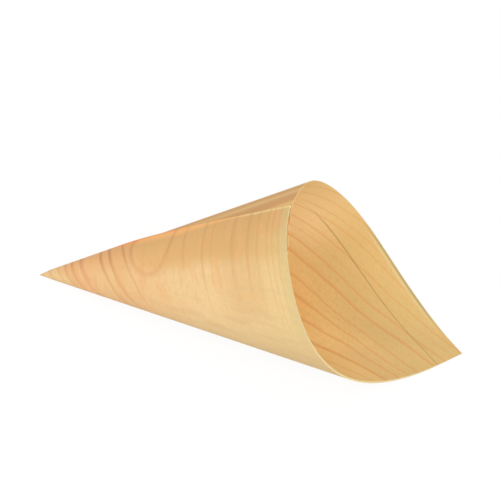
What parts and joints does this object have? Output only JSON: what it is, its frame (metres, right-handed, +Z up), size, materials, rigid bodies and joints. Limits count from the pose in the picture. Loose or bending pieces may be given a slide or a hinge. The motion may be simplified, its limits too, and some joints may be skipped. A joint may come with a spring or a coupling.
{
  "type": "wooden food cone",
  "caption": "Open cone rolled from one sheet of thin wood veneer, with a pointed tip and one long pointed lip, for serving snacks by hand.",
  "frame": {"origin": "the cone's tip, where it touches the floor", "axes": "+Z up, +X from the tip to the long lip's corner, along the flat on which the cone lies; the roll's own axis leans up from +X by 15.5 degrees"},
  "size_m": [0.188, 0.0808, 0.071],
  "materials": {
    "pine_veneer": "bare sliced pine, matt"
  },
  "bodies": {
    "root": {"veneer_cone": "pine_veneer"}
  },
  "joints": []
}
